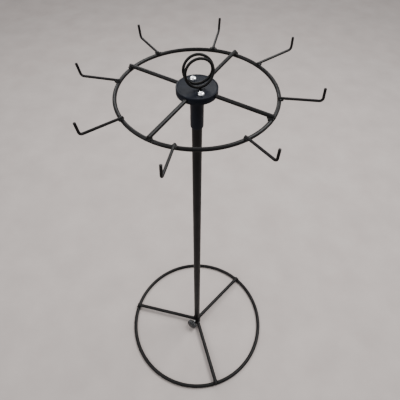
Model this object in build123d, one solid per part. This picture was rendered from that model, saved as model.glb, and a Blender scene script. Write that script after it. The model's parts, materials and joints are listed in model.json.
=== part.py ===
"""Rotating display rack: a wire base, a clamped post and a turning wire rack with eight hooks.

Millimetres, +Z up. The origin is on the post's axis at the surface that the base stands on.
Bearings are in degrees from +X, anticlockwise seen from above.
"""
from build123d import *
from math import cos, pi, radians, sin, sqrt
import os

os.makedirs("parts", exist_ok=True)

# ---- base: ring and three spokes of heavy wire -------------------------------------------
base_ring_dia = 384.0          # centreline
base_wire = 10.0
base_spoke_bearings = {"right": 47.0, "left": 167.0, "front": 287.0}
base_sink = 0.5                # how far a base spoke settles into the ring as it is welded
base_spoke_past = 2.5          # spoke end beyond the ring's centreline

# ---- socket and its thumbscrew ------------------------------------------------------------
post_dia = 16.0
post_wall = 1.2
post_fit = 0.1                 # radial slide fit of the post in its socket
socket_wall = 2.2
socket_foot = 3.0              # underside of the socket above the floor
socket_top = 31.0
socket_floor = 3.0             # closed end under the post
socket_rim = 0.5               # chamfer at the mouth
collar_leg = 1.3               # weld at the socket: its rise over the spoke and its run along it
collar_toe = 0.3               # its thickness where it ends on the spoke
collar_root = 1.0              # its start behind the wall's surface, before it is trimmed
clamp_bearing = 231.0
clamp_height = 18.5
clamp_dia = 6.0
clamp_fit = 0.05               # radial, stud in its tapped hole and in the knob
clamp_tip_gap = 0.3            # stud tip to the post
clamp_show = 4.6               # bare stud between the socket and the knob
clamp_point = 0.6              # chamfer at the stud's ends
knob_dia = 29.0
knob_thick = 14.0
knob_neck_dia = 14.0
knob_neck = 2.5
knob_ribs = 16
knob_rib_dia = 3.4             # flute cutter
knob_rib_out = 0.6             # flute cutter's centre outside the knob's radius
knob_bore_depth = 10.0         # of the moulded-in stud inside the knob's head
knob_edge = 1.2                # rounding of the head next to the neck
knob_dome = 5.0                # rounding of the head's far end

# ---- post ---------------------------------------------------------------------------------
roof_drop = 6.7                # hub's underside down to the roof of its bore
plug_flange = 1.5
plug_edge = 0.5
plug_insert = 12.0
plug_fit = 0.05                # radial, plug in the tube
ball_dia = 6.0
ball_show = 0.45               # share of the ball's diameter that stands out of its cup
ball_fit = 0.05
ball_gap = 0.3                 # ball to the roof of the hub's bore

# ---- hub: two plastic discs that grip the spokes -------------------------------------------
hub_dia = 59.0
hub_disc = 5.0                 # thickness of each disc
hub_edge = 0.9                 # chamfer at the disc rims
hub_dish = 0.6                 # depth of the shallow recess in the top face
hub_rim = 2.0                  # width of the rim round that recess
sleeve_wall = 1.9
sleeve_length = 60.0
sleeve_chamfer = 1.6
sleeve_fit = 0.1               # radial running fit on the post
groove_fit = 0.05              # radial, spoke in its groove

# ---- rack: ring, four spokes, eight hooks --------------------------------------------------
rack_ring_dia = 226.0          # centreline
rack_wire = 5.8
rack_height = 852.0            # floor to the ring's centreline
rack_sink = 0.6                # how far a wire settles into the ring as it is welded
rack_spoke_first = -30.0
rack_spoke_past = 1.5          # spoke end beyond the ring's centreline
hook_wire = 3.8
hook_sink = 0.4
hook_inset = 2.0               # hook end inside the ring's centreline
hook_rise = 19.5               # arm's centreline to the tip
hook_bend = 4.5                # bend radius on the centreline
hook_tip_edge = 0.5
# each hook: degrees past its spoke, degrees off radial, ring to the upturned end, outward lean;
# hand-set, so not quite even
hook_settings = [(21.7, 2.8, 57.0, -4.0), (67.0, 0.0, 68.0, -3.0),
                 (18.0, 1.5, 54.0, 15.0), (63.0, 1.5, 54.5, 10.0),
                 (19.5, 0.0, 55.0, 10.0), (62.8, 2.9, 57.0, 6.0),
                 (17.1, 1.0, 55.0, -7.0), (62.9, 5.6, 52.0, 1.0)]

# ---- hub fasteners: pan-head screws and nuts, thread size 5 -------------------------------
screw_dia = 5.0
screw_hole = 5.3
screw_head_dia = 9.4
screw_head = 3.6
screw_crown = 0.55             # rounding of the head over its height
screw_past = 138.0             # degrees past the first spoke
screw_end = 1.6                # thread that shows below the nut
nut_flats = 8.0
nut_thick = 4.0
recess_width = 1.1
recess_span = 4.8
recess_depth = 1.9
recess_turn = 35.0             # one arm of the cross from the screw's own bearing
thread_fit = 0.05              # radial, screws and stem in their nuts

# ---- sign clip: a double loop of thin wire on a stem --------------------------------------
clip_wire = 3.8
clip_bearing = 297.0           # from the hub's axis towards the stem
clip_offset = 9.0              # stem from the hub's axis
clip_facing = 287.0            # the loops lean away from this bearing
clip_stand = 4.9               # hub face to the centreline of the lowest strand
clip_height = 38.2             # lowest to highest centreline
clip_steps = (5.5, 8.7, 16.0)  # how far back the wire has gone at each half turn
clip_fit = 0.1                 # radial, stem in the hub
clip_nut_flats = 7.0
clip_nut_thick = 3.2
clip_nut_fit = 0.15

# ---- weld beads ---------------------------------------------------------------------------
bead_size = 0.45               # bead radius over the radius of the wire that is welded on
bead_length = 0.8              # bead half length over the same radius
bead_rise = 0.9                # bead centre above the ring over the bead's radius
bead_spread = 0.86             # bead centre from the wire's centreline over the wire's radius

# ---- worked out from the values above -----------------------------------------------------
base_z = base_wire / 2
base_spoke_z = base_z + base_wire - base_sink
socket_radius = post_dia / 2 + post_fit + socket_wall
post_foot = socket_foot + socket_floor
tube_bottom = post_foot + plug_flange
tube_bore = post_dia / 2 - post_wall
spoke_z = rack_height + rack_wire - rack_sink
hub_bottom = spoke_z - hub_disc
hub_top = spoke_z + hub_disc
sleeve_bottom = hub_bottom - sleeve_length
bore_roof = hub_bottom - roof_drop
ball_z = bore_roof - ball_gap - ball_dia / 2
plug_top = ball_z - ball_dia * (ball_show - 0.5)
post_top = plug_top - plug_flange
sleeve_radius = post_dia / 2 + sleeve_fit + sleeve_wall
dish_radius = hub_dia / 2 - hub_rim - hub_dish    # floor of the recess in the hub's face
screw_circle = sleeve_radius + dish_radius        # screws halfway between the sleeve and that edge
core_radius = clip_offset + clip_nut_flats / 2    # the spokes stop here, clear of the clip's nut
collar_radius = base_wire / 2 + collar_leg
collar_start = sqrt(socket_radius ** 2 - collar_radius ** 2) - collar_root
hook_z = rack_height + (rack_wire + hook_wire) / 2 - hook_sink
clamp_tip = post_dia / 2 + clamp_tip_gap
knob_start = socket_radius + clamp_show
clamp_end = knob_start + knob_neck + knob_bore_depth
rack_spoke_bearings = [rack_spoke_first + 90.0 * k for k in range(4)]
screw_bearings = [rack_spoke_first + screw_past, rack_spoke_first + screw_past + 180.0]


def direction(bearing):
    """Level unit vector at a bearing."""
    return Vector(cos(radians(bearing)), sin(radians(bearing)), 0)


def place(radius, bearing, z):
    """Point at a radius and bearing about the post's axis."""
    return direction(bearing) * radius + Vector(0, 0, z)


def rod(start, end, radius):
    """Round bar between two points."""
    return Solid.make_cylinder(radius, (end - start).length, Plane(origin=start, z_dir=end - start))


def upright(radius, bottom, top, centre=Vector(0, 0, 0)):
    """Round bar along Z."""
    return rod(centre + Vector(0, 0, bottom), centre + Vector(0, 0, top), radius)


def ring(centreline_dia, wire, z):
    """Closed ring of round wire."""
    return Solid.make_torus(centreline_dia / 2, wire / 2, Plane((0, 0, z)))


def turned(profile):
    """Solid of revolution about Z from (radius, height) corners."""
    corners = [(radius, 0, height) for radius, height in profile]
    outline = Wire.make_polygon(corners, close=True)
    return Solid.revolve(Face(outline), 360, Axis.Z)


def hexagon(flats, bottom, top, centre=Vector(0, 0, 0)):
    """Upright hexagonal bar."""
    size = flats / sqrt(3)
    corners = [centre + direction(60.0 * k) * size + Vector(0, 0, bottom) for k in range(6)]
    return Solid.extrude(Face(Wire.make_polygon(corners, close=True)), Vector(0, 0, top - bottom))


def bent_wire(path, radius):
    """Round wire swept along tangent lines and arcs."""
    start = path.position_at(0)
    section = Face(Wire.make_circle(radius, Plane(origin=start, z_dir=path.tangent_at(0))))
    return Solid.sweep(section.outer_wire(), inner_wires=[], path=path, is_frenet=False)


def single(shape):
    """The one solid of a shape, or the largest if a cut left a sliver."""
    return max(shape.solids(), key=lambda solid: solid.volume)


def beads(wire_radius, crossing, along, away):
    """Two weld beads in the corners between a wire and the top of the ring that it crosses."""
    side = Vector(-along.Y, along.X, 0)
    size = bead_size * wire_radius
    made = []
    for way in (-1, 1):
        middle = crossing + Vector(0, 0, size * bead_rise) + side * (way * wire_radius * bead_spread)
        half = along * (wire_radius * bead_length)
        bead = rod(middle - half, middle + half, size)
        for piece in away:
            bead = single(bead - piece)
        made.append(bead)
    return made


def save(node, *solids):
    """One STEP file for each named piece or group of like pieces."""
    shape = solids[0] if len(solids) == 1 else Compound(children=list(solids))
    export_step(shape, f"parts/{node}.step")


# ---- base ---------------------------------------------------------------------------------
def make_base():
    floor_ring = ring(base_ring_dia, base_wire, base_z)
    socket_body = upright(socket_radius, socket_foot, socket_top)
    save("base_ring", floor_ring)
    ring_beads = []
    socket_beads = []
    for name, bearing in base_spoke_bearings.items():
        inner = place(0, bearing, base_spoke_z)
        outer = place(base_ring_dia / 2 + base_spoke_past, bearing, base_spoke_z)
        spoke = single(rod(inner, outer, base_wire / 2) - socket_body - floor_ring)
        save(f"base_spoke_{name}", spoke)
        crossing = place(base_ring_dia / 2, bearing, base_wire)
        ring_beads += beads(base_wire / 2, crossing, direction(bearing), [floor_ring, spoke])
        collar = Solid.make_cone(collar_radius, base_wire / 2 + collar_toe,
                                 socket_radius + collar_leg - collar_start,
                                 Plane(origin=place(collar_start, bearing, base_spoke_z),
                                       z_dir=direction(bearing)))
        socket_beads.append(single(collar - socket_body - spoke))
    save("base_ring_welds", *ring_beads)
    save("socket_welds", *socket_beads)


def make_socket():
    bore = upright(post_dia / 2 + post_fit, post_foot, socket_top + 1)
    hole = rod(place(0, clamp_bearing, clamp_height),
               place(socket_radius + 1, clamp_bearing, clamp_height), clamp_dia / 2 + clamp_fit)
    cup = upright(socket_radius, socket_foot, socket_top)
    rim = [edge for edge in cup.edges() if abs(edge.center().Z - socket_top) < 0.01]
    cup = cup.chamfer(socket_rim, None, rim)
    save("post_socket", single(cup - bore - hole))


def make_clamp():
    """Thumbscrew built along +X from the post's axis, then turned to its bearing."""
    turn = Location((0, 0, clamp_height), (0, 0, clamp_bearing))
    stud = rod(Vector(clamp_tip, 0, 0), Vector(clamp_end, 0, 0), clamp_dia / 2)
    ends = [edge for edge in stud.edges() if edge.geom_type == GeomType.CIRCLE]
    stud = stud.chamfer(clamp_point, None, ends)
    save("clamp_stud", stud.moved(turn))

    head_start = knob_start + knob_neck
    head_end = head_start + knob_thick
    head = rod(Vector(head_start, 0, 0), Vector(head_end, 0, 0), knob_dia / 2)
    rims = [edge for edge in head.edges() if edge.geom_type == GeomType.CIRCLE]
    rims.sort(key=lambda edge: edge.center().X)
    head = head.fillet(knob_edge, rims[:1])
    far_rim = [edge for edge in head.edges() if abs(edge.center().X - head_end) < 0.01]
    head = head.fillet(knob_dome, far_rim)
    for k in range(knob_ribs):
        angle = 2 * pi * k / knob_ribs
        seat = Vector(0, cos(angle), sin(angle)) * (knob_dia / 2 + knob_rib_out)
        head = head - rod(Vector(head_start - 1, 0, 0) + seat,
                          Vector(head_end + 1, 0, 0) + seat, knob_rib_dia / 2)
    neck = rod(Vector(knob_start, 0, 0), Vector(head_start + 1, 0, 0), knob_neck_dia / 2)
    bore = rod(Vector(knob_start - 1, 0, 0), Vector(clamp_end + clamp_fit, 0, 0),
               clamp_dia / 2 + clamp_fit)
    save("clamp_knob", single(single(head) + neck - bore).moved(turn))


# ---- post ---------------------------------------------------------------------------------
def make_post():
    tube = upright(post_dia / 2, tube_bottom, post_top) - upright(tube_bore, tube_bottom, post_top)
    save("post_tube", single(tube))

    insert = tube_bore - plug_fit
    edge = plug_edge
    foot = turned([(0, post_foot), (post_dia / 2 - edge, post_foot), (post_dia / 2, post_foot + edge),
                   (post_dia / 2, tube_bottom), (insert, tube_bottom),
                   (insert, tube_bottom + plug_insert - 1), (insert - 1, tube_bottom + plug_insert),
                   (0, tube_bottom + plug_insert)])
    save("post_foot_plug", foot)

    head = turned([(0, post_top - plug_insert), (insert - 1, post_top - plug_insert),
                   (insert, post_top - plug_insert + 1), (insert, post_top), (post_dia / 2, post_top),
                   (post_dia / 2, plug_top - edge), (post_dia / 2 - edge, plug_top), (0, plug_top)])
    cup = Solid.make_sphere(ball_dia / 2 + ball_fit, Plane((0, 0, ball_z)), -90, 90, 360)
    save("post_top_plug", single(head - cup))
    save("pivot_ball", Solid.make_sphere(ball_dia / 2, Plane((0, 0, ball_z)), -90, 90, 360))


# ---- hub ----------------------------------------------------------------------------------
def spoke_grooves():
    return [rod(place(core_radius, bearing, spoke_z), place(hub_dia, bearing, spoke_z),
                rack_wire / 2 + groove_fit) for bearing in rack_spoke_bearings]


def screw_holes():
    return [upright(screw_hole / 2, hub_bottom - 1, hub_top + 1, place(screw_circle / 2, bearing, 0))
            for bearing in screw_bearings]


def make_hub():
    rim = hub_dia / 2
    bore = post_dia / 2 + sleeve_fit
    sleeve = sleeve_radius
    lower = turned([(0, bore_roof), (bore, bore_roof), (bore, sleeve_bottom),
                    (sleeve - sleeve_chamfer / 2, sleeve_bottom),
                    (sleeve, sleeve_bottom + sleeve_chamfer * 2), (sleeve, hub_bottom),
                    (rim - hub_edge, hub_bottom), (rim, hub_bottom + hub_edge),
                    (rim, spoke_z - hub_edge), (rim - hub_edge, spoke_z), (0, spoke_z)])
    upper = turned([(0, spoke_z), (rim - hub_edge, spoke_z), (rim, spoke_z + hub_edge),
                    (rim, hub_top - hub_edge), (rim - hub_edge, hub_top), (rim - hub_rim, hub_top),
                    (dish_radius, hub_top - hub_dish), (0, hub_top - hub_dish)])
    for cut in spoke_grooves() + screw_holes():
        lower = lower - cut
        upper = upper - cut
    stem = place(clip_offset, clip_bearing, 0)
    pocket = hexagon(clip_nut_flats + 2 * clip_nut_fit, spoke_z,
                     spoke_z + clip_nut_thick + clip_nut_fit, stem)
    lower = lower - upright(clip_wire / 2 + clip_fit, spoke_z - 1, spoke_z + 1, stem)
    upper = upper - pocket - upright(clip_wire / 2 + clip_fit, spoke_z, hub_top + 1, stem)
    save("hub_lower", single(lower))
    save("hub_upper", single(upper))


def make_hub_fasteners():
    face = hub_top - hub_dish
    screws = []
    nuts = []
    for bearing in screw_bearings:
        centre = place(screw_circle / 2, bearing, 0)
        end = hub_bottom - nut_thick - screw_end
        shank = upright(screw_dia / 2, end, face + 0.5, centre)
        head = upright(screw_head_dia / 2, face, face + screw_head, centre)
        crown = [edge for edge in head.edges() if abs(edge.center().Z - face - screw_head) < 0.01]
        screw = head.fillet(screw_head * screw_crown, crown) + shank
        for turn in (bearing + recess_turn, bearing + recess_turn + 90.0):
            slot = Solid.make_box(recess_span, recess_width, recess_depth)
            slot = slot.moved(Location((-recess_span / 2, -recess_width / 2, 0)))
            top = Location(place(screw_circle / 2, bearing, face + screw_head - recess_depth), (0, 0, turn))
            screw = screw - slot.moved(top)
        screws.append(single(screw))
        nut = hexagon(nut_flats, hub_bottom - nut_thick, hub_bottom, centre)
        thread = upright(screw_dia / 2 + thread_fit, hub_bottom - nut_thick, hub_bottom, centre)
        nuts.append(single(nut - thread))
    save("hub_screws", *screws)
    save("hub_nuts", *nuts)


# ---- rack ---------------------------------------------------------------------------------
def make_rack():
    upper_ring = ring(rack_ring_dia, rack_wire, rack_height)
    ring_top = rack_height + rack_wire / 2
    save("rack_ring", upper_ring)

    spoke_beads = []
    for k, bearing in enumerate(rack_spoke_bearings):
        inner = place(core_radius, bearing, spoke_z)
        outer = place(rack_ring_dia / 2 + rack_spoke_past, bearing, spoke_z)
        spoke = single(rod(inner, outer, rack_wire / 2) - upper_ring)
        save(f"rack_spoke_{k + 1}", spoke)
        crossing = place(rack_ring_dia / 2, bearing, ring_top)
        spoke_beads += beads(rack_wire / 2, crossing, direction(bearing), [upper_ring, spoke])
    save("spoke_welds", *spoke_beads)

    hook_beads = []
    for k, (past_spoke, skew, arm, lean) in enumerate(hook_settings):
        bearing = rack_spoke_bearings[k // 2] + past_spoke
        out = direction(bearing + skew)
        hook = single(make_hook(place(rack_ring_dia / 2, bearing, hook_z), out, arm, lean) - upper_ring)
        save(f"hook_{k + 1}", hook)
        crossing = place(rack_ring_dia / 2, bearing, ring_top)
        hook_beads += beads(hook_wire / 2, crossing, out, [upper_ring, hook])
    save("hook_welds", *hook_beads)


def make_hook(crossing, out, arm, lean):
    """Straight arm, bend and upturned end that leans outward by the given degrees."""
    rising = out * sin(radians(lean)) + Vector(0, 0, cos(radians(lean)))
    turn = radians(90.0 - lean)
    corner = crossing + out * arm
    cut_back = hook_bend * sin(turn) / (1 + cos(turn))
    start = crossing - out * hook_inset
    bend_start = corner - out * cut_back
    bend_end = corner + rising * cut_back
    tip = corner + rising * hook_rise
    shaft = Edge.make_line(start, bend_start)
    bend = Edge.make_tangent_arc(bend_start, out, bend_end)
    end = Edge.make_line(bend_end, tip)
    hook = bent_wire(Wire([shaft, bend, end]), hook_wire / 2)
    rim = [edge for edge in hook.edges().filter_by(GeomType.CIRCLE)
           if (edge.center() - tip).length < 0.01]
    return hook.fillet(hook_tip_edge, rim) if rim else hook


# ---- sign clip ----------------------------------------------------------------------------
def make_sign_clip():
    """Two loops side by side; the wire leaves the stem, goes round twice and returns to it."""
    stem = place(clip_offset, clip_bearing, 0)
    back = direction(clip_facing) * -1
    side = Vector(-back.Y, back.X, 0)
    low = hub_top - hub_dish + clip_stand
    first, second, third = clip_steps
    high = low + clip_height
    turns = [(0.0, low), (first, high), (second, low), (third, high), (0.0, low)]

    def half_turn(start, end, way):
        """Half circle on the line between two points, so that its neighbours meet it smoothly."""
        start_point = stem + back * start[0] + Vector(0, 0, start[1])
        end_point = stem + back * end[0] + Vector(0, 0, end[1])
        chord = end_point - start_point
        middle = (start_point + end_point) * 0.5 + side * (way * chord.length / 2)
        return Edge.make_three_point_arc(start_point, middle, end_point)

    arcs = [half_turn(turns[k], turns[k + 1], 1 if k % 2 == 0 else -1) for k in range(4)]
    inner_loop = bent_wire(Wire(arcs[:2]), clip_wire / 2)
    outer_loop = bent_wire(Wire(arcs[2:]), clip_wire / 2)
    post = upright(clip_wire / 2, spoke_z - 0.5, low, stem)
    save("sign_clip", single(inner_loop + outer_loop + post))

    nut = hexagon(clip_nut_flats, spoke_z, spoke_z + clip_nut_thick, stem)
    save("clip_nut", single(nut - upright(clip_wire / 2 + thread_fit, spoke_z, spoke_z + 9, stem)))


make_base()
make_socket()
make_clamp()
make_post()
make_hub()
make_hub_fasteners()
make_rack()
make_sign_clip()
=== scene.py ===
"""Rotating display rack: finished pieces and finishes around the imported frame.

Metres, +Z up, origin on the post's axis at the floor. Bearings are in degrees from +X.
"""

import json
import math

import bmesh
import bpy
from mathutils import Matrix, Vector


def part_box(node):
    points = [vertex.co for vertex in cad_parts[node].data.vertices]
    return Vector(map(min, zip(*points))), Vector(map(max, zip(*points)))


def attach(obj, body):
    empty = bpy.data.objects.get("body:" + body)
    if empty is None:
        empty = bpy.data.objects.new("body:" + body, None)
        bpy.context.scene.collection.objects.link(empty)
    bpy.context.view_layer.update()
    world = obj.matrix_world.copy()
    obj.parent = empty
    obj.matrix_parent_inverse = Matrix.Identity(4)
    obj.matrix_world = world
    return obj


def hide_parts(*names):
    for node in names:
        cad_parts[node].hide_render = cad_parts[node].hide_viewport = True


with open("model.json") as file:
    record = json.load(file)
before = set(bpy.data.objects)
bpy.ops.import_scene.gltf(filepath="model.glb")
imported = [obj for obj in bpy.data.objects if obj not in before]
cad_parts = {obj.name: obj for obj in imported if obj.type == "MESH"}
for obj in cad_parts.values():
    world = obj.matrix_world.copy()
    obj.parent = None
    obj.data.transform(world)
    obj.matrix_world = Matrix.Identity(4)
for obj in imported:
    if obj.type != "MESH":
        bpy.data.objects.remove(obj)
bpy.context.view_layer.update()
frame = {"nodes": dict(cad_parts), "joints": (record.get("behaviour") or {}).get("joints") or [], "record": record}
nodes = frame["nodes"]
record = frame["record"]
mounts = {mount["name"]: mount for mount in record["mounts"]}
joints = {joint["name"]: joint for joint in frame["joints"]}
MM = 0.001
UP = Vector((0, 0, 1))


# ---- modelling helpers ---------------------------------------------------------------------
def deselect():
    if bpy.context.object and bpy.context.object.mode != "OBJECT":
        bpy.ops.object.mode_set(mode="OBJECT")
    bpy.ops.object.select_all(action="DESELECT")


def named(name):
    """The primitive just added, settled at the origin under its own name."""
    piece = bpy.context.object
    piece.name = name
    piece.data.name = name
    bpy.ops.object.transform_apply(location=True, rotation=True, scale=True)
    return piece


def settle(piece):
    """Applies a piece's own place and turn, so that its object is back at the origin."""
    deselect()
    piece.select_set(True)
    bpy.context.view_layer.objects.active = piece
    bpy.ops.object.transform_apply(location=True, rotation=True, scale=True)


def edit(piece, mode="VERT"):
    deselect()
    piece.select_set(True)
    bpy.context.view_layer.objects.active = piece
    bpy.ops.object.mode_set(mode="EDIT")
    bpy.ops.mesh.select_mode(type=mode)


def leave():
    bpy.ops.object.mode_set(mode="OBJECT")


def pick(piece, wanted, kind="verts"):
    """Selects the corners, edges or faces whose place passes a test, in edit mode."""
    mesh = bmesh.from_edit_mesh(piece.data)
    for face in mesh.faces:
        face.select = False
    for edge in mesh.edges:
        edge.select = False
    for corner in mesh.verts:
        corner.select = False
    for item in getattr(mesh, kind):
        if kind == "verts":
            chosen = wanted(item.co)
        elif kind == "edges":
            chosen = wanted(item.verts[0].co, item.verts[1].co)
        else:
            chosen = wanted(item.calc_center_median(), item.normal)
        if chosen:
            item.select = True
    mesh.select_flush_mode()
    bmesh.update_edit_mesh(piece.data)


def outward(piece):
    """Merges doubles and points every face outwards."""
    edit(piece)
    bpy.ops.mesh.select_all(action="SELECT")
    bpy.ops.mesh.remove_doubles(threshold=1e-6)
    bpy.ops.mesh.normals_make_consistent(inside=False)
    leave()


def finish_with(piece, kind, **settings):
    """Adds a modifier with its settings and applies it."""
    deselect()
    piece.select_set(True)
    bpy.context.view_layer.objects.active = piece
    modifier = piece.modifiers.new(kind.lower(), kind)
    for setting, value in settings.items():
        setattr(modifier, setting, value)
    bpy.ops.object.modifier_apply(modifier=modifier.name)


def round_edges(piece, width, segments=3, angle=40):
    finish_with(piece, "BEVEL", width=width, segments=segments, limit_method="ANGLE",
                angle_limit=math.radians(angle), harden_normals=False)


def smooth(piece, angle=35):
    deselect()
    piece.select_set(True)
    bpy.context.view_layer.objects.active = piece
    bpy.ops.object.shade_smooth_by_angle(angle=math.radians(angle))


def cut(piece, cutters, operation="DIFFERENCE"):
    for cutter in cutters:
        finish_with(piece, "BOOLEAN", object=cutter, operation=operation, solver="EXACT")
        bpy.data.objects.remove(cutter)


def join(name, pieces):
    deselect()
    for piece in pieces:
        piece.select_set(True)
    bpy.context.view_layer.objects.active = pieces[0]
    if len(pieces) > 1:
        bpy.ops.object.join()
    return named(name)


def copy_turned(piece, bearing):
    """A copy with its own mesh, turned about the post's axis."""
    twin = piece.copy()
    twin.data = piece.data.copy()
    bpy.context.scene.collection.objects.link(twin)
    twin.rotation_euler = (0, 0, math.radians(bearing))
    settle(twin)
    return twin


def direction(bearing):
    return Vector((math.cos(math.radians(bearing)), math.sin(math.radians(bearing)), 0))


def bearing_of(point):
    return math.degrees(math.atan2(point[1], point[0]))


def turn_to(axis):
    """Euler turn that brings +Z onto an axis."""
    return UP.rotation_difference(Vector(axis).normalized()).to_euler()


def bar(name, start, end, radius, corners=32):
    """Plain round bar with flat ends."""
    span = Vector(end) - Vector(start)
    deselect()
    bpy.ops.mesh.primitive_cylinder_add(vertices=corners, radius=radius, depth=span.length,
                                        end_fill_type="NGON", location=(Vector(start) + Vector(end)) / 2,
                                        rotation=turn_to(span))
    return named(name)


def lathe(name, profile, centre=(0, 0), corners=96, hollow=False):
    """Upright turned piece: a circle drawn up and resized from ring to ring.

    A hollow profile comes back to its first ring; a solid one is closed by its end faces.
    """
    radius, height = profile[0]
    deselect()
    bpy.ops.mesh.primitive_circle_add(vertices=corners, radius=radius, location=(*centre, height),
                                      fill_type="NOTHING" if hollow else "NGON")
    piece = named(name)
    edit(piece)
    bpy.ops.mesh.select_all(action="SELECT")
    for next_radius, next_height in profile[1:] + (profile[:1] if hollow else []):
        bpy.ops.mesh.extrude_region_move(
            TRANSFORM_OT_translate={"value": (0, 0, next_height - height)})
        factor = next_radius / radius
        bpy.ops.transform.resize(value=(factor, factor, 1), center_override=(*centre, next_height))
        radius, height = next_radius, next_height
    leave()
    outward(piece)
    return piece


def wire_end(name, start, along, radius, corners=24):
    """The cut end of a wire, ready to be drawn out."""
    deselect()
    bpy.ops.mesh.primitive_circle_add(vertices=corners, radius=radius, location=start,
                                      rotation=turn_to(along), fill_type="NGON")
    piece = named(name)
    edit(piece)
    bpy.ops.mesh.select_all(action="SELECT")
    return piece


def draw_out(step):
    bpy.ops.mesh.extrude_region_move(TRANSFORM_OT_translate={"value": tuple(step)})


def bend_round(centre, axis, angle, steps):
    """Swings the open end about an axis by the right-hand rule."""
    bpy.ops.mesh.spin(steps=steps, angle=-angle, center=centre, axis=axis)


def round_cut_ends(piece, ends, width, reach):
    """Takes the sharp edge off a wire's cut ends."""
    edit(piece, "EDGE")

    def at_end(a, b):
        return any(abs((a - point).dot(along)) < reach and abs((b - point).dot(along)) < reach
                   for point, along in ends)

    pick(piece, at_end, "edges")
    bpy.ops.mesh.bevel(offset=width, segments=4, profile=0.5, affect="EDGES")
    leave()


def thread(name, radius, depth, pitch, length):
    """Upright screw thread from z = 0: a core with a ridge wound round it."""
    core = bar("core", (0, 0, 0), (0, 0, length), radius - depth)
    deselect()
    bpy.ops.mesh.primitive_circle_add(vertices=4, radius=depth * 0.9, fill_type="NOTHING",
                                      location=(radius - depth, 0, -pitch / 2),
                                      rotation=(math.pi / 2, 0, 0))
    ridge = named("ridge")
    edit(ridge)
    bpy.ops.mesh.select_all(action="SELECT")
    bpy.ops.transform.resize(value=(1.1, 1, pitch * 0.42 / (depth * 0.9)),
                             center_override=(radius - depth, 0, -pitch / 2))
    leave()
    turns = int(length / pitch) + 1
    finish_with(ridge, "SCREW", angle=2 * math.pi, screw_offset=pitch, iterations=turns,
                steps=32, render_steps=32, axis="Z", use_merge_vertices=True)
    edit(ridge)
    bpy.ops.mesh.select_all(action="SELECT")
    bpy.ops.mesh.fill_holes(sides=6)
    bpy.ops.mesh.normals_make_consistent(inside=False)
    for height, upper in ((0, False), (length, True)):
        bpy.ops.mesh.select_all(action="SELECT")
        bpy.ops.mesh.bisect(plane_co=(0, 0, height), plane_no=(0, 0, 1), use_fill=True,
                            clear_outer=upper, clear_inner=not upper)
    leave()
    return join(name, [core, ridge])


def hexagon(name, flats, bottom, top, centre):
    """Hexagon nut blank with its corners turned off."""
    radius = flats / math.sqrt(3)
    deselect()
    bpy.ops.mesh.primitive_cylinder_add(vertices=6, radius=radius, depth=top - bottom,
                                        location=(*centre, (top + bottom) / 2))
    blank = named(name)
    chamfer = (radius - flats / 2) * 0.62
    slope = radius * 1.02
    cone = lathe("corner_cone", [(slope - chamfer * 2.2, bottom), (slope, bottom + chamfer * 1.4),
                                 (slope, top - chamfer * 1.4), (slope - chamfer * 2.2, top)],
                 centre, 64)
    cut(blank, [cone], "INTERSECT")
    return blank


# ---- finishes --------------------------------------------------------------------------------
class Finish:
    """Node-built material on Object coordinates."""

    def __init__(self, name):
        self.material = bpy.data.materials.new(name)
        self.material.use_nodes = True
        self.tree = self.material.node_tree
        self.shader = self.tree.nodes["Principled BSDF"]
        self.place = self.tree.nodes.new("ShaderNodeTexCoord").outputs["Object"]
        self.height = None

    def link(self, source, target):
        self.tree.links.new(source, target)

    def noise(self, scale, detail=3.0, roughness=0.5, stretch=None):
        node = self.tree.nodes.new("ShaderNodeTexNoise")
        node.inputs["Scale"].default_value = scale
        node.inputs["Detail"].default_value = detail
        node.inputs["Roughness"].default_value = roughness
        place = self.place
        if stretch:
            mapping = self.tree.nodes.new("ShaderNodeMapping")
            mapping.inputs["Scale"].default_value = stretch
            self.link(place, mapping.inputs["Vector"])
            place = mapping.outputs["Vector"]
        self.link(place, node.inputs["Vector"])
        return node.outputs["Fac"]

    def ramp(self, value, stops):
        node = self.tree.nodes.new("ShaderNodeValToRGB")
        while len(node.color_ramp.elements) < len(stops):
            node.color_ramp.elements.new(0.5)
        for element, (position, colour) in zip(node.color_ramp.elements, stops):
            element.position = position
            element.color = (*colour, 1) if len(colour) == 3 else colour
        self.link(value, node.inputs["Fac"])
        return node.outputs["Color"]

    def spread(self, value, low, high):
        node = self.tree.nodes.new("ShaderNodeMapRange")
        node.inputs["From Min"].default_value = 0.3
        node.inputs["From Max"].default_value = 0.7
        node.inputs["To Min"].default_value = low
        node.inputs["To Max"].default_value = high
        self.link(value, node.inputs["Value"])
        return node.outputs["Result"]

    def mix(self, share, first, second):
        node = self.tree.nodes.new("ShaderNodeMix")
        node.data_type = "RGBA"
        self.link(share, node.inputs["Factor"])
        for colour, socket in ((first, node.inputs[6]), (second, node.inputs[7])):
            if isinstance(colour, tuple):
                socket.default_value = (*colour, 1)
            else:
                self.link(colour, socket)
        return node.outputs[2]

    def bump(self, value, distance, strength=1.0):
        node = self.tree.nodes.new("ShaderNodeBump")
        node.inputs["Distance"].default_value = distance
        node.inputs["Strength"].default_value = strength
        self.link(value, node.inputs["Height"])
        if self.height is not None:
            self.link(self.height, node.inputs["Normal"])
        self.height = node.outputs["Normal"]
        self.link(self.height, self.shader.inputs["Normal"])
        self.link(self.height, self.shader.inputs["Coat Normal"])

    def set(self, **sockets):
        for socket, value in sockets.items():
            self.shader.inputs[socket.replace("_", " ")].default_value = value


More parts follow.
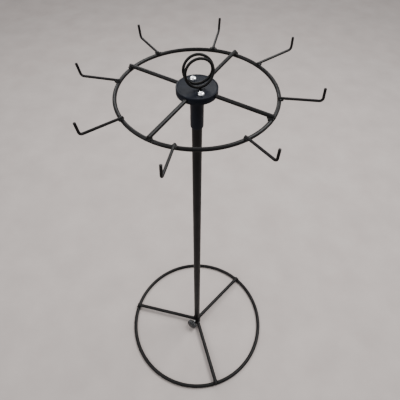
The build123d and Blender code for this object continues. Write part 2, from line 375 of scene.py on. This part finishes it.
def powder_coat():
    """Satin black powder coat: fine orange peel, faint dust and a slightly greyer bloom."""
    finish = Finish("black_powder_coat")
    cloud = finish.noise(24, 4)
    tone = finish.ramp(cloud, [(0.30, (0.0030, 0.0028, 0.0028)), (0.70, (0.0070, 0.0066, 0.0064))])
    dust = finish.ramp(finish.noise(1900, 2), [(0.66, (0, 0, 0)), (0.74, (0.35, 0.35, 0.35))])
    finish.link(finish.mix(dust, tone, (0.030, 0.029, 0.027)), finish.shader.inputs["Base Color"])
    finish.link(finish.spread(finish.noise(60, 3), 0.38, 0.50), finish.shader.inputs["Roughness"])
    finish.bump(finish.noise(620, 2), 0.00010, 0.55)
    finish.bump(finish.noise(2600, 2), 0.00004, 0.35)
    finish.set(IOR=1.4, Specular_IOR_Level=0.08, Coat_Weight=0.12, Coat_IOR=1.5, Coat_Roughness=0.34)
    return finish.material


def hub_plastic():
    """Moulded plastic, faintly blue black, with a fine spark-eroded texture."""
    finish = Finish("hub_plastic")
    tone = finish.ramp(finish.noise(45, 3),
                       [(0.3, (0.0050, 0.0060, 0.0088)), (0.7, (0.0085, 0.0100, 0.0140))])
    finish.link(tone, finish.shader.inputs["Base Color"])
    finish.link(finish.spread(finish.noise(90, 4), 0.36, 0.50), finish.shader.inputs["Roughness"])
    finish.bump(finish.noise(3200, 3), 0.00005, 0.5)
    finish.set(IOR=1.4, Specular_IOR_Level=0.04, Coat_Weight=0.06, Coat_IOR=1.45, Coat_Roughness=0.34)
    return finish.material


def knob_plastic():
    finish = Finish("knob_plastic")
    tone = finish.ramp(finish.noise(120, 3),
                       [(0.3, (0.006, 0.0065, 0.0070)), (0.7, (0.012, 0.013, 0.0135))])
    finish.link(tone, finish.shader.inputs["Base Color"])
    finish.link(finish.spread(finish.noise(240, 4), 0.32, 0.48), finish.shader.inputs["Roughness"])
    finish.bump(finish.noise(2400, 3), 0.00006, 0.5)
    finish.set(IOR=1.4, Specular_IOR_Level=0.10, Coat_Weight=0.55, Coat_IOR=1.55, Coat_Roughness=0.25)
    return finish.material


def plug_plastic():
    finish = Finish("plug_plastic")
    tone = finish.ramp(finish.noise(150, 3), [(0.3, (0.020, 0.020, 0.020)), (0.7, (0.034, 0.034, 0.034))])
    finish.link(tone, finish.shader.inputs["Base Color"])
    finish.link(finish.spread(finish.noise(300, 3), 0.5, 0.65), finish.shader.inputs["Roughness"])
    finish.bump(finish.noise(1800, 3), 0.00006, 0.4)
    return finish.material


def bright_zinc():
    """Bright zinc plate: clear, with a faint warm and blue cast and fine handling marks."""
    finish = Finish("bright_zinc")
    tone = finish.ramp(finish.noise(260, 3),
                       [(0.3, (0.74, 0.76, 0.79)), (0.55, (0.82, 0.82, 0.81)),
                        (0.75, (0.70, 0.69, 0.64))])
    finish.link(tone, finish.shader.inputs["Base Color"])
    finish.link(finish.spread(finish.noise(700, 4), 0.20, 0.36), finish.shader.inputs["Roughness"])
    finish.bump(finish.noise(900, 3, stretch=(1, 6, 1)), 0.00003, 0.4)
    finish.set(Metallic=1.0)
    return finish.material


def bearing_steel():
    finish = Finish("ball_steel")
    tone = finish.ramp(finish.noise(400, 2), [(0.3, (0.66, 0.66, 0.67)), (0.7, (0.74, 0.74, 0.75))])
    finish.link(tone, finish.shader.inputs["Base Color"])
    finish.link(finish.spread(finish.noise(900, 3), 0.08, 0.16), finish.shader.inputs["Roughness"])
    finish.bump(finish.noise(4000, 2), 0.00001, 0.3)
    finish.set(Metallic=1.0)
    return finish.material


finishes = {"black_powder_coat": powder_coat(), "hub_plastic": hub_plastic(),
            "knob_plastic": knob_plastic(), "plug_plastic": plug_plastic(),
            "bright_zinc": bright_zinc(), "ball_steel": bearing_steel()}
node_slots = {part["node"]: part["material_slot"] for part in record["subparts"]}
node_bodies = {node: body for body, members in record["behaviour"]["bodies"].items() for node in members}


def fit(piece, node):
    """Hands a finished piece over: its finish, the body it moves with and the node it stands for."""
    slot = node_slots[node]
    piece.data.materials.clear()
    piece.data.materials.append(finishes[slot])
    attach(piece, node_bodies[node])
    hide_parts(node)


# ---- wire rings, bars and their welds -------------------------------------------------------
def ring_sizes(node):
    """Centreline radius, wire radius and height of a ring."""
    low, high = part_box(node)
    wire = (high.z - low.z) / 2
    return (high.x - low.x) / 2 - wire, wire, (high.z + low.z) / 2


def make_ring(name, node, joint_bearing):
    """Ring of wire whose ends are butt welded, with the low upset ridge that the weld leaves."""
    radius, wire, height = ring_sizes(node)
    corners = 288
    deselect()
    bpy.ops.mesh.primitive_torus_add(major_segments=corners, minor_segments=28, major_radius=radius,
                                     minor_radius=wire, location=(0, 0, height))
    piece = named(name)
    step = 360.0 / corners
    seam = round(joint_bearing / step) * step
    for away, swell in ((-1, 1.02), (0, 1.06), (1, 1.02)):
        bearing = seam + away * step
        middle = direction(bearing) * radius + UP * height
        edit(piece)
        pick(piece, lambda co: co.z > height - wire * 0.3
             and abs((bearing_of(co) - bearing + 180) % 360 - 180) < step * 0.4)
        bpy.ops.transform.resize(value=(swell, swell, swell), center_override=middle)
        leave()
    smooth(piece, 60)
    fit(piece, node)
    return piece


def level_wire(node):
    """Radius and height of the round piece that lies level in a node."""
    low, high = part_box(node)
    return (high.z - low.z) / 2, (high.z + low.z) / 2


def middle_bearing(node):
    low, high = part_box(node)
    return round(bearing_of((low + high) / 2))


def spoke_reach(node):
    """Nearest and furthest distance of a bar from the post's axis, along its bearing."""
    along = direction(middle_bearing(node))
    reach = [corner.co.dot(along) for corner in nodes[node].data.vertices]
    return min(reach), max(reach)


def make_spokes(names):
    """Straight bars on top of a ring: each follows its own node's place."""
    for node in names:
        radius, height = level_wire(node)
        inner, outer = spoke_reach(node)
        along = direction(middle_bearing(node))
        start = along * inner + UP * height
        end = along * outer + UP * height
        piece = bar(node, start, end, radius, 28)
        round_cut_ends(piece, [(end, along)], radius * 0.16, 0.0002)
        smooth(piece)
        fit(piece, node)


weld_skin = 0.985  # a weld's stubs stay just under the wires they cover


def blob(middle, reach):
    """A drop of weld metal: a ball drawn out to its half lengths."""
    deselect()
    bpy.ops.mesh.primitive_uv_sphere_add(segments=20, ring_count=12, radius=1, location=middle)
    drop = bpy.context.object
    drop.scale = reach
    settle(drop)
    return drop


def make_weld(name, ring, wire_radius, wire_height, end, way, drops, voxel, skew=0.0):
    """One welded crossing at bearing 0: short lengths of ring and wire with drops run between them.

    way is -1 for a wire that reaches the ring from the post and 1 for one from outside; each drop is
    its place past the ring, across the wire and above the ring's top, then its half lengths, all over
    the wire's radius.
    """
    ring_radius, ring_wire, ring_height = ring
    crest = Vector((ring_radius, 0, ring_height + ring_wire))
    half = wire_radius * 2.6
    stub = bar("wire_stub", (end, 0, wire_height), (ring_radius + way * half, 0, wire_height),
               wire_radius * weld_skin)
    parts = [stub] + [blob(crest + Vector(place) * wire_radius, Vector(reach) * wire_radius)
                      for place, reach in drops]
    weld = join(name, parts)
    edit(weld)
    bpy.ops.mesh.select_all(action="SELECT")
    bpy.ops.transform.rotate(value=-math.radians(skew), orient_axis="Z", center_override=crest)
    leave()
    weld = join(name, [weld, bar("ring_stub", (ring_radius, -half, ring_height),
                                 (ring_radius, half, ring_height), ring_wire * weld_skin)])
    finish_with(weld, "REMESH", mode="VOXEL", voxel_size=voxel)
    finish_with(weld, "SMOOTH", factor=0.6, iterations=6)
    return weld


def gather_welds(name, node, welds, bearings):
    """Turns each weld to its own crossing and joins them as one group."""
    turned = [copy_turned(weld, bearing) for weld, bearing in zip(welds, bearings)]
    for weld in set(welds):
        bpy.data.objects.remove(weld)
    group = join(name, turned)
    smooth(group, 180)
    fit(group, node)


# ---- base ----------------------------------------------------------------------------------
base_ring = ring_sizes("base_ring")
rack_ring = ring_sizes("rack_ring")
base_spokes = ["base_spoke_right", "base_spoke_left", "base_spoke_front"]
rack_spokes = [f"rack_spoke_{k}" for k in range(1, 5)]
hooks = [f"hook_{k}" for k in range(1, 9)]

# drops of weld metal, over the wire's radius: place, then half lengths
spoke_drops = [((0.3, -0.92, 0.10), (0.95, 0.42, 0.42)), ((0.3, 0.92, 0.10), (0.95, 0.42, 0.42)),
               ((-0.7, -0.85, 0.05), (0.60, 0.48, 0.50)), ((-0.6, 0.88, 0.08), (0.62, 0.46, 0.46)),
               ((0.15, 0.05, 0.05), (0.45, 0.72, 0.62))]
capped_drops = spoke_drops + [((1.0, 0.10, 0.15), (0.80, 0.95, 0.95)),
                              ((1.2, -0.80, -0.35), (0.7, 0.7, 0.7))]
webbed_drops = spoke_drops + [((-1.0, -1.35, -0.55), (0.75, 0.75, 0.70)),
                              ((-1.7, -0.95, 0.10), (0.75, 0.50, 0.60)),
                              ((0.9, 0.25, 0.10), (0.55, 0.85, 0.75))]
hook_drops = [((0.2, -1.20, 0.05), (1.45, 0.78, 0.68)), ((0.2, 1.20, 0.05), (1.45, 0.78, 0.68)),
              ((1.7, -0.90, -0.20), (1.20, 0.78, 0.90)), ((1.7, 0.90, -0.20), (1.20, 0.78, 0.90)),
              ((-0.9, 0.0, 0.30), (0.75, 1.30, 0.95))]
broad_drops = hook_drops + [((1.0, -1.90, -0.35), (1.10, 1.00, 0.90)),
                            ((1.0, 1.90, -0.35), (1.10, 1.00, 0.90)),
                            ((2.5, 0.0, -0.20), (1.15, 1.30, 1.05))]
long_drops = hook_drops + [((0.2, -2.20, -0.10), (0.90, 1.10, 0.75)),
                           ((0.3, 0.0, 1.0), (1.0, 1.35, 0.80))]


def make_base():
    make_ring("base_ring_wire", "base_ring", 118)
    make_spokes(base_spokes)
    wire_radius, wire_height = level_wire(base_spokes[0])
    end = spoke_reach(base_spokes[0])[1]
    weld = make_weld("base_weld", base_ring, wire_radius, wire_height, end, -1, spoke_drops, 0.00042)
    gather_welds("base_ring_weld_beads", "base_ring_welds", [weld] * 3,
                 [middle_bearing(node) for node in base_spokes])
    make_socket_welds(wire_radius, wire_height)


def make_socket_welds(wire_radius, wire_height):
    """Bead run round each spoke's inner end where it meets the socket's round wall."""
    low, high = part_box("post_socket")
    wall = (high.x - low.x) / 2
    leg = 1.3 * MM
    drops = 14
    bead = wire_radius + 0.3 * MM
    parts = [bar("spoke_stub", (wall * 0.7, 0, wire_height), (wall + leg, 0, wire_height),
                 wire_radius * weld_skin)]
    for k in range(drops):
        angle = 2 * math.pi * k / drops
        across = math.cos(angle) * bead
        above = math.sin(angle) * bead
        parts.append(blob((math.sqrt(wall ** 2 - across ** 2) + 0.1 * MM, across, wire_height + above),
                          (leg * 0.85, leg * 1.05, leg * 1.05)))
    weld = join("socket_weld", parts)
    finish_with(weld, "REMESH", mode="VOXEL", voxel_size=0.0003)
    finish_with(weld, "SMOOTH", factor=0.6, iterations=4)
    bite = 0.5 * MM
    cut(weld, [bar("inside", (0, 0, wire_height - 9 * MM), (0, 0, wire_height + 9 * MM), wall - bite, 64),
               bar("spoke", (0, 0, wire_height), (wall * 2, 0, wire_height), wire_radius - bite, 48)])
    gather_welds("socket_weld_beads", "socket_welds", [weld] * 3,
                 [middle_bearing(node) for node in base_spokes])


def make_socket():
    """Turned cup with a softened rim and a tapped side hole."""
    low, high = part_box("post_socket")
    outer = (high.x - low.x) / 2
    post_low, post_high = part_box("post_tube")
    bore = (post_high.x - post_low.x) / 2 + 0.1 * MM
    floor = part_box("post_foot_plug")[0].z
    rim = 0.5 * MM
    cup = lathe("socket_cup", [(0.2 * MM, low.z), (outer - rim, low.z), (outer, low.z + rim),
                               (outer, high.z - rim), (outer - rim, high.z), (bore + 0.3 * MM, high.z),
                               (bore, high.z - 0.4 * MM), (bore, floor), (0.2 * MM, floor)])
    clamp = joints["clamp_screw"]["axis"]
    stud_radius, height = level_wire("clamp_stud")
    hole = bar("hole", Vector(clamp) * (bore * 0.5) + UP * height,
               Vector(clamp) * (outer * 1.5) + UP * height, stud_radius + 0.05 * MM, 48)
    sink = bar("hole_mouth", Vector(clamp) * (outer - 0.35 * MM) + UP * height,
               Vector(clamp) * (outer * 1.5) + UP * height, stud_radius + 0.45 * MM, 48)
    cut(cup, [hole, sink])
    round_edges(cup, 0.15 * MM, 2, 50)
    smooth(cup)
    fit(cup, "post_socket")


# ---- thumbscrew ---------------------------------------------------------------------------
def along_clamp(piece):
    """Lays an upright piece down along the clamp's axis, starting at the post's axis."""
    piece.rotation_euler = turn_to(joints["clamp_screw"]["axis"])
    piece.location = UP * level_wire("clamp_stud")[1]
    settle(piece)
    return piece


def clamp_reach(node):
    axis = Vector(joints["clamp_screw"]["axis"])
    reach = [corner.co.dot(axis) for corner in nodes[node].data.vertices]
    return min(reach), max(reach)


def make_clamp_stud():
    """Threaded stud with a plain dog point."""
    start, end = clamp_reach("clamp_stud")
    radius = level_wire("clamp_stud")[0]
    point = 1.6 * MM
    body = thread("stud_thread", radius, 0.55 * MM, 1.0 * MM, end - start - point)
    body.location = (0, 0, start + point)
    settle(body)
    dog = lathe("stud_point", [(radius * 0.52, start), (radius * 0.66, start + 0.4 * MM),
                               (radius * 0.66, start + point), (radius * 0.8, start + point + 0.6 * MM)],
                corners=32)
    stud = join("thumbscrew_stud", [body, dog])
    along_clamp(stud)
    smooth(stud, 30)
    fit(stud, "clamp_stud")


def make_clamp_knob():
    """Moulded head with round-bottomed flutes, a domed far end and a short neck."""
    start, end = clamp_reach("clamp_knob")
    radius = level_wire("clamp_knob")[0]
    bore = level_wire("clamp_stud")[0] + 0.05 * MM
    neck_radius = 7.0 * MM
    neck = 2.5 * MM
    ribs = 16
    per_rib = 10
    near = start + neck
    head = lathe("knob_head", [(radius * 0.3, near), (radius * 0.70, near),
                               (radius * 0.72, near + 0.25 * MM),
                               (radius * 0.90, near), (radius * 0.965, near + 0.4 * MM),
                               (radius, near + 1.2 * MM), (radius, end - 5.0 * MM),
                               (radius * 0.985, end - 3.7 * MM), (radius * 0.94, end - 2.5 * MM),
                               (radius * 0.87, end - 1.4 * MM), (radius * 0.78, end - 0.6 * MM),
                               (radius * 0.66, end - 0.15 * MM), (radius * 0.55, end),
                               (radius * 0.50, end - 0.5 * MM), (radius * 0.02, end - 0.6 * MM)],
                 corners=ribs * per_rib)
    # flutes: corners between the ribs are drawn in towards the axis
    draw = {3: 0.965, 4: 0.915, 5: 0.895, 6: 0.895, 7: 0.915, 8: 0.965}
    step = 2 * math.pi / (ribs * per_rib)
    for place, factor in draw.items():
        edit(head)
        pick(head, lambda co: math.hypot(co.x, co.y) > radius * 0.86
             and round(math.atan2(co.y, co.x) / step) % per_rib == place)
        bpy.ops.transform.resize(value=(factor, factor, 1), center_override=(0, 0, 0))
        leave()
    collar = lathe("knob_neck", [(bore, start), (neck_radius - 0.5 * MM, start),
                                 (neck_radius, start + 0.5 * MM), (neck_radius, near + 1 * MM),
                                 (bore, near + 1 * MM)], corners=64, hollow=True)
    knob = join("thumbscrew_knob", [head, collar])
    along_clamp(knob)
    smooth(knob, 38)
    fit(knob, "clamp_knob")


# ---- post ----------------------------------------------------------------------------------
def make_post():
    low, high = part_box("post_tube")
    radius = (high.x - low.x) / 2
    bore = radius - 1.2 * MM
    edge = 0.2 * MM
    tube = lathe("post_tube_wall", [(bore, low.z), (radius - edge, low.z), (radius, low.z + edge),
                                    (radius, high.z - edge), (radius - edge, high.z), (bore, high.z)],
                 corners=96, hollow=True)
    smooth(tube)
    fit(tube, "post_tube")


# ---- hub -----------------------------------------------------------------------------------
def spoke_cutters(names):
    """Bars a little fatter than the spokes, which cut the hub's grooves."""
    cutters = []
    past_hub = 50 * MM
    for node in names:
        radius, height = level_wire(node)
        along = direction(middle_bearing(node))
        inner = spoke_reach(node)[0]
        cutters.append(bar("groove", along * inner + UP * height, along * past_hub + UP * height,
                           radius + 0.12 * MM, 40))
    return cutters


screws_past_spoke = 138  # degrees from the first spoke to the line of the two hub screws


def screw_places():
    """Centres of the two hub screws, from the extent of each head."""
    line = direction(middle_bearing("rack_spoke_1") + screws_past_spoke)
    reach = [corner.co.dot(line) for corner in nodes["hub_screws"].data.vertices]
    far = max(reach)
    near = min(value for value in reach if value > 0)
    return [line * (far + near) / 2, line * -(far + near) / 2]


def make_hub():
    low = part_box("hub_lower")[0]
    top_low, top_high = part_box("hub_upper")
    rim = (top_high.x - top_low.x) / 2
    parting = top_low.z
    flange = parting - 5.0 * MM
    sleeve = 10.0 * MM
    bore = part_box("post_tube")[1].x + 0.1 * MM
    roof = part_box("pivot_ball")[1].z + 0.3 * MM
    edge = 0.9 * MM
    web = 0.3 * MM
    lower = lathe("hub_flange_and_sleeve", [
        (web, roof), (bore, roof), (bore, low.z + 0.4 * MM), (bore + 0.4 * MM, low.z),
        (sleeve - 0.8 * MM, low.z), (sleeve - 0.25 * MM, low.z + 1.2 * MM), (sleeve, low.z + 3.2 * MM),
        (sleeve, flange - 1.6 * MM), (sleeve + 0.5 * MM, flange - 0.5 * MM), (sleeve + 1.6 * MM, flange),
        (rim - edge, flange), (rim - edge * 0.3, flange + edge * 0.3), (rim, flange + edge),
        (rim, parting - edge), (rim - edge, parting), (web, parting)], corners=144)
    upper = lathe("hub_cap", [
        (web, parting), (rim - edge, parting), (rim, parting + edge), (rim, top_high.z - edge),
        (rim - edge * 0.3, top_high.z - edge * 0.3), (rim - edge, top_high.z),
        (rim - 2.0 * MM, top_high.z), (rim - 2.5 * MM, top_high.z - 0.5 * MM),
        (rim - 2.9 * MM, top_high.z - 0.6 * MM), (web, top_high.z - 0.6 * MM)], corners=144)
    stem = Vector(joints["sign_clip_turn"]["pos_m"])
    above = top_high.z + 1 * MM
    for piece in (lower, upper):
        holes = [bar("screw_hole", place + UP * (flange - 1 * MM), place + UP * above, 2.6 * MM, 40)
                 for place in screw_places()]
        holes.append(bar("stem_hole", (stem.x, stem.y, parting - 1 * MM), (stem.x, stem.y, above),
                         2.0 * MM, 40))
        cut(piece, spoke_cutters(rack_spokes) + holes)
    for piece, node in ((lower, "hub_lower"), (upper, "hub_upper")):
        smooth(piece, 30)
        fit(piece, node)


def make_hub_screws():
    """Pan-head screws with a cross recess, their threads coming through the nuts."""
    low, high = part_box("hub_screws")
    head_height = 3.6 * MM
    face = high.z - head_height
    head_radius = 4.7 * MM
    shank_radius = 2.5 * MM
    screws = []
    nuts = []
    nut_low, nut_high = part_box("hub_nuts")
    for k, place in enumerate(screw_places()):
        head = lathe("screw_head", [
            (shank_radius, face), (head_radius, face), (head_radius, face + head_height * 0.28),
            (head_radius * 0.975, face + head_height * 0.45),
            (head_radius * 0.90, face + head_height * 0.65),
            (head_radius * 0.77, face + head_height * 0.82),
            (head_radius * 0.58, face + head_height * 0.94),
            (head_radius * 0.30, face + head_height), (head_radius * 0.02, face + head_height)],
            corners=64)
        slots = []
        for turn in (35 + 40 * k, 125 + 40 * k):
            deselect()
            bpy.ops.mesh.primitive_cube_add(size=1, location=(0, 0, face + head_height),
                                            rotation=(0, 0, math.radians(turn)))
            slot = bpy.context.object
            slot.scale = (4.8 * MM, 1.15 * MM, 4.0 * MM)
            settle(slot)
            edit(slot)
            pick(slot, lambda co: co.z < face + head_height)
            bpy.ops.transform.resize(value=(0.45, 0.45, 1), center_override=(0, 0, face))
            leave()
            slots.append(slot)
        cut(head, slots)
        round_edges(head, 0.12 * MM, 2, 50)
        shank = thread("screw_thread", shank_radius, 0.42 * MM, 0.8 * MM, face - low.z)
        shank.location = (0, 0, low.z)
        settle(shank)
        screw = join("screw", [head, shank])
        screw.location = place
        settle(screw)
        screws.append(screw)
        nuts.append(hexagon("nut", 8.0 * MM, nut_low.z, nut_high.z, (place.x, place.y)))
    screw_pair = join("hub_pan_head_screws", screws)
    smooth(screw_pair, 30)
    fit(screw_pair, "hub_screws")
    nut_pair = join("hub_hex_nuts", nuts)
    smooth(nut_pair, 25)
    fit(nut_pair, "hub_nuts")


# ---- rack ----------------------------------------------------------------------------------
hook_bend = 4.5 * MM


def hook_shape(k):
    """Start, corner, tip and directions of a hook, from its tip's mount and its node's root end."""
    node = hooks[k]
    tip = mounts[f"hook_tip_{k + 1}"]
    wire = tip["dims"]["r_mm"] * MM
    low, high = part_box(node)
    height = low.z + wire
    rising = Vector(tip["axis"]).normalized()
    middle = Vector(tip["pos_m"])
    corner = middle - rising * ((middle.z - height) / rising.z)
    level = [Vector((spot.co.x, spot.co.y, height)) for spot in nodes[node].data.vertices]
    near = min(spot.xy.length for spot in level)
    root = [spot for spot in level if spot.xy.length < near + 4.5 * MM]
    out = (corner - sum(root, Vector()) / len(root)).normalized()
    start = corner + out * min((spot - corner).dot(out) for spot in level)
    length = (high.z - height - wire * math.sqrt(1 - rising.z ** 2)) / rising.z
    return start, corner, corner + rising * length, out, rising, wire


def make_hooks():
    """Each hook is drawn out along its arm, bent and run up to its tip."""
    for k, node in enumerate(hooks):
        start, corner, tip, out, rising, wire = hook_shape(k)
        turn = math.acos(max(-1.0, min(1.0, out.dot(rising))))
        cut_back = hook_bend * math.tan(turn / 2)
        side = out.cross(rising).normalized()
        piece = wire_end(node, start, out, wire)
        draw_out(corner - out * cut_back - start)
        bend_round(corner - out * cut_back + side.cross(out) * hook_bend, side, turn, 14)
        draw_out(tip - corner - rising * cut_back)
        leave()
        outward(piece)
        round_cut_ends(piece, [(tip, rising)], 0.5 * MM, 0.0002)
        smooth(piece)
        fit(piece, node)


def make_hook_welds():
    """Every hook's weld is run by hand, so each has its own size and shape."""
    shapes = [hook_drops, hook_drops, broad_drops, long_drops,
              long_drops, hook_drops, hook_drops, hook_drops]
    welds = []
    bearings = []
    for k, drops in enumerate(shapes):
        start, _, _, out, _, wire = hook_shape(k)
        crossing = start + out * 2.0 * MM
        bearings.append(bearing_of(crossing))
        skew = bearing_of(out) - bearings[-1]
        welds.append(make_weld(f"hook_weld_{k + 1}", rack_ring, wire, start.z, rack_ring[0] - 2.0 * MM, 1,
                               drops, 0.00025, skew))
    gather_welds("hook_weld_beads", "hook_welds", welds, bearings)


def make_rack():
    make_ring("rack_ring_wire", "rack_ring", 10)
    make_spokes(rack_spokes)
    wire_radius, wire_height = level_wire(rack_spokes[0])
    end = spoke_reach(rack_spokes[0])[1]
    welds = [make_weld(f"rack_weld_{k + 1}", rack_ring, wire_radius, wire_height, end, -1, drops, 0.0003)
             for k, drops in enumerate([webbed_drops, capped_drops, spoke_drops, spoke_drops])]
    gather_welds("spoke_weld_beads", "spoke_welds", welds,
                 [middle_bearing(node) for node in rack_spokes])
    make_hooks()
    make_hook_welds()


# ---- sign clip ------------------------------------------------------------------------------
clip_back = 107  # bearing that the loops lean towards


def make_sign_clip():
    """Wire drawn up from its stem and bent through two loops that close on the stem again."""
    stem = Vector(joints["sign_clip_turn"]["pos_m"])
    stem.z = 0
    back = direction(clip_back)
    side = Vector((-back.y, back.x, 0))
    low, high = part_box("sign_clip")
    wire = 1.9 * MM
    rise = 38.2 * MM
    foot = high.z - wire - rise
    steps = [(0.0, foot), (5.5 * MM, foot + rise), (8.7 * MM, foot), (16.0 * MM, foot + rise), (0.0, foot)]
    points = [stem + back * step + UP * height for step, height in steps]
    loop = wire_end("clip_loop", points[0], side, wire, 20)
    for k in range(4):
        way = 1 if k % 2 == 0 else -1
        chord = points[k + 1] - points[k]
        axis = side.cross(chord.normalized()) * way
        bend_round((points[k] + points[k + 1]) / 2, axis, math.pi, 36)
    leave()
    outward(loop)
    leg = bar("clip_stem", stem + UP * low.z, stem + UP * foot, wire, 20)
    clip = join("sign_clip_wire", [loop, leg])
    smooth(clip)
    fit(clip, "sign_clip")


# ---- hidden pieces keep their own shapes ---------------------------------------------------
def dress_hidden_pieces():
    for node in ("post_foot_plug", "post_top_plug", "pivot_ball", "clip_nut"):
        mesh = nodes[node].data
        mesh.materials.clear()
        mesh.materials.append(finishes[node_slots[node]])


# ---- studio --------------------------------------------------------------------------------
def make_studio():
    deselect()
    bpy.ops.mesh.primitive_plane_add(size=8)
    floor = named("floor")
    surface = Finish("pale_floor")
    tone = surface.ramp(surface.noise(9, 5),
                        [(0.3, (0.318, 0.280, 0.262)), (0.7, (0.360, 0.320, 0.300))])
    surface.link(tone, surface.shader.inputs["Base Color"])
    surface.set(Roughness=0.9)
    floor.data.materials.append(surface.material)

    world = bpy.data.worlds.new("soft_sky")
    world.use_nodes = True
    world.node_tree.nodes["Background"].inputs["Color"].default_value = (0.94, 0.95, 0.98, 1)
    world.node_tree.nodes["Background"].inputs["Strength"].default_value = 0.75
    bpy.context.scene.world = world

    lights = [("key", (1.0, 0.6, 2.3), 1.0, 70), ("fill", (-1.3, -0.5, 1.9), 1.3, 22),
              ("back", (-0.4, 1.5, 1.7), 0.9, 20)]
    for name, place, size, power in lights:
        lamp = bpy.data.lights.new(name, "AREA")
        lamp.size = size
        lamp.energy = power
        holder = bpy.data.objects.new(name, lamp)
        holder.location = place
        aim = Vector((0, 0, 0.55)) - Vector(place)
        holder.rotation_euler = aim.to_track_quat("-Z", "Y").to_euler()
        bpy.context.scene.collection.objects.link(holder)


def make_camera():
    """Hand-held view from above the rack, looking steeply down."""
    pitch = math.radians(51.48)
    roll = math.radians(0.70)
    across = Vector((1, 0, 0))
    ahead = Vector((0, math.cos(pitch), -math.sin(pitch)))
    above = across.cross(ahead)
    right = across * math.cos(roll) + above * math.sin(roll)
    up = above * math.cos(roll) - across * math.sin(roll)
    data = bpy.data.cameras.new("camera")
    data.sensor_width = 36.0
    data.lens = 33.47
    camera = bpy.data.objects.new("camera", data)
    turn = Matrix((right, up, -ahead)).transposed()
    nudge = Matrix.Rotation(math.radians(0.10), 4, "Y") @ Matrix.Rotation(math.radians(0.03), 4, "X")
    camera.matrix_world = Matrix.Translation((0.00688, -0.4370, 1.1620)) @ turn.to_4x4() @ nudge
    bpy.context.scene.collection.objects.link(camera)
    bpy.context.scene.camera = camera


make_base()
make_socket()
make_clamp_stud()
make_clamp_knob()
make_post()
make_hub()
make_hub_screws()
make_rack()
make_sign_clip()
dress_hidden_pieces()
make_studio()
make_camera()
